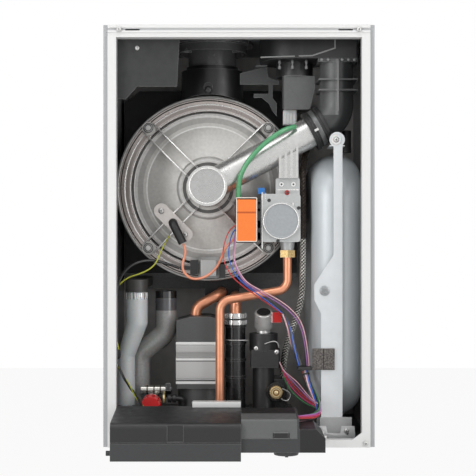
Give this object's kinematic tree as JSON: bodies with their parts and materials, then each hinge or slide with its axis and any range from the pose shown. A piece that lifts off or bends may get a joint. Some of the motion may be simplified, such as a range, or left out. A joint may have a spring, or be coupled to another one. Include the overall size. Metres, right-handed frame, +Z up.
{
  "type": "condensing gas boiler",
  "caption": "Wall-hung condensing gas boiler with its front cover off: round heat exchanger, fan, gas valve, pump, expansion vessel and a control box swung down in front.",
  "frame": {"origin": "on the back face of the casing, midway between the two wall_fixing slots", "axes": "+X to the right seen from the front, +Y into the wall, +Z up"},
  "size_m": [0.45, 0.474, 0.752],
  "materials": {
    "case_steel": "satin grey",
    "case_paint": "satin white powder coat",
    "label_grey": "matt dark grey",
    "zinc_steel": "zinc plated",
    "black_moulding": "fine grained black",
    "stainless": "drawn stainless",
    "cast_aluminium": "sand cast",
    "black_rubber": "matt",
    "grey_moulding": "satin grey",
    "orange_moulding": "satin orange",
    "copper": "drawn copper",
    "pump_aluminium": "turned",
    "brass": "turned",
    "chrome": "plated",
    "red_moulding": "satin red",
    "translucent": "milky",
    "vessel_paint": "satin silver grey",
    "box_moulding": "grained dark grey",
    "board_green": "lacquered",
    "lead_sheath": "matt",
    "green_rubber": "smooth",
    "braid": "woven wire"
  },
  "bodies": {
    "casing": {"back_panel": "case_steel", "side_panels": "case_paint", "top_panel": "case_paint", "bottom_panel": "case_paint", "front_frame": "case_paint", "label_plate": "label_grey", "fasteners": "zinc_steel", "exchanger_housing": "black_moulding", "exchanger_shell": "stainless", "front_plate": "stainless", "burner_door": "cast_aluminium", "burner_tube": "stainless", "heating_coil": "stainless", "ignition_electrodes": "zinc_steel", "electrode_boot": "black_rubber", "limit_thermostat": "black_moulding", "flue_collector": "black_moulding", "flue_terminal": "black_moulding", "fan_scroll": "black_moulding", "fan_motor": "black_moulding", "fan_support": "zinc_steel", "air_elbow": "black_moulding", "rubber_coupling": "black_rubber", "mixing_head": "cast_aluminium", "gas_valve": "cast_aluminium", "igniter_case": "orange_moulding", "igniter_frame": "black_moulding", "gas_pipe": "copper", "pump_cap": "black_moulding", "pump_motor": "pump_aluminium", "pump_volute": "black_moulding", "hydraulic_block": "black_moulding", "diverter_valve": "black_moulding", "diverter_actuator": "chrome", "copper_pipes": "copper", "pipe_nuts": "chrome", "brass_fittings": "brass", "pipe_tails": "brass", "safety_valve": "chrome", "siphon": "grey_moulding", "siphon_inlet": "black_moulding", "siphon_trap": "translucent", "vessel_shells": "vessel_paint", "vessel_membrane": "black_rubber", "vessel_strap": "zinc_steel", "vessel_tee": "black_moulding", "wiring": "lead_sheath", "control_loom": "lead_sheath", "green_hose": "green_rubber", "braided_hose": "braid"},
    "fan_wheel": {"fan_impeller": "grey_moulding"},
    "pump_rotor": {"pump_impeller": "grey_moulding"},
    "relief_handle": {"relief_knob": "red_moulding"},
    "diverter_spindle": {"diverter_stem": "brass"},
    "control_box": {"control_tray": "box_moulding", "control_lid": "box_moulding", "control_board": "board_green"},
    "terminal_flap": {"terminal_cover": "box_moulding"},
    "heating_knob": {"heating_dial": "box_moulding"},
    "water_knob": {"water_dial": "box_moulding"}
  },
  "joints": [
    {"name": "control_box_hinge", "type": "hinge", "parent": "casing", "child": "control_box", "pos_m": [0, -0.374, -0.619], "axis": [-1, 0, 0], "range_deg": [0, 90], "deforming": ["control_loom"]},
    {"name": "terminal_cover_hinge", "type": "hinge", "parent": "control_box", "child": "terminal_flap", "pos_m": [0.046, -0.373, -0.5755], "axis": [-1, 0, 0], "range_deg": [0, 70]},
    {"name": "heating_dial_turn", "type": "hinge", "parent": "control_box", "child": "heating_knob", "pos_m": [-0.1634, -0.405, -0.6386], "axis": [0, 0, -1], "range_deg": [0, 270]},
    {"name": "water_dial_turn", "type": "hinge", "parent": "control_box", "child": "water_knob", "pos_m": [0.074, -0.44, -0.6265], "axis": [0, 0, -1], "range_deg": [0, 270]},
    {"name": "fan_spin", "type": "hinge", "parent": "casing", "child": "fan_wheel", "pos_m": [0.098, -0.235, 0.03], "axis": [0, 0, 1], "continuous": true},
    {"name": "pump_spin", "type": "hinge", "parent": "casing", "child": "pump_rotor", "pos_m": [-0.0685, -0.195, -0.54], "axis": [0, 0, 1], "continuous": true},
    {"name": "relief_knob_turn", "type": "hinge", "parent": "casing", "child": "relief_handle", "pos_m": [-0.151, -0.262, -0.579], "axis": [0, -1, 0], "range_deg": [0, 90]},
    {"name": "diverter_stroke", "type": "slide", "parent": "casing", "child": "diverter_spindle", "axis": [0, 0, 1], "range_m": [0, 0.012]}
  ]
}
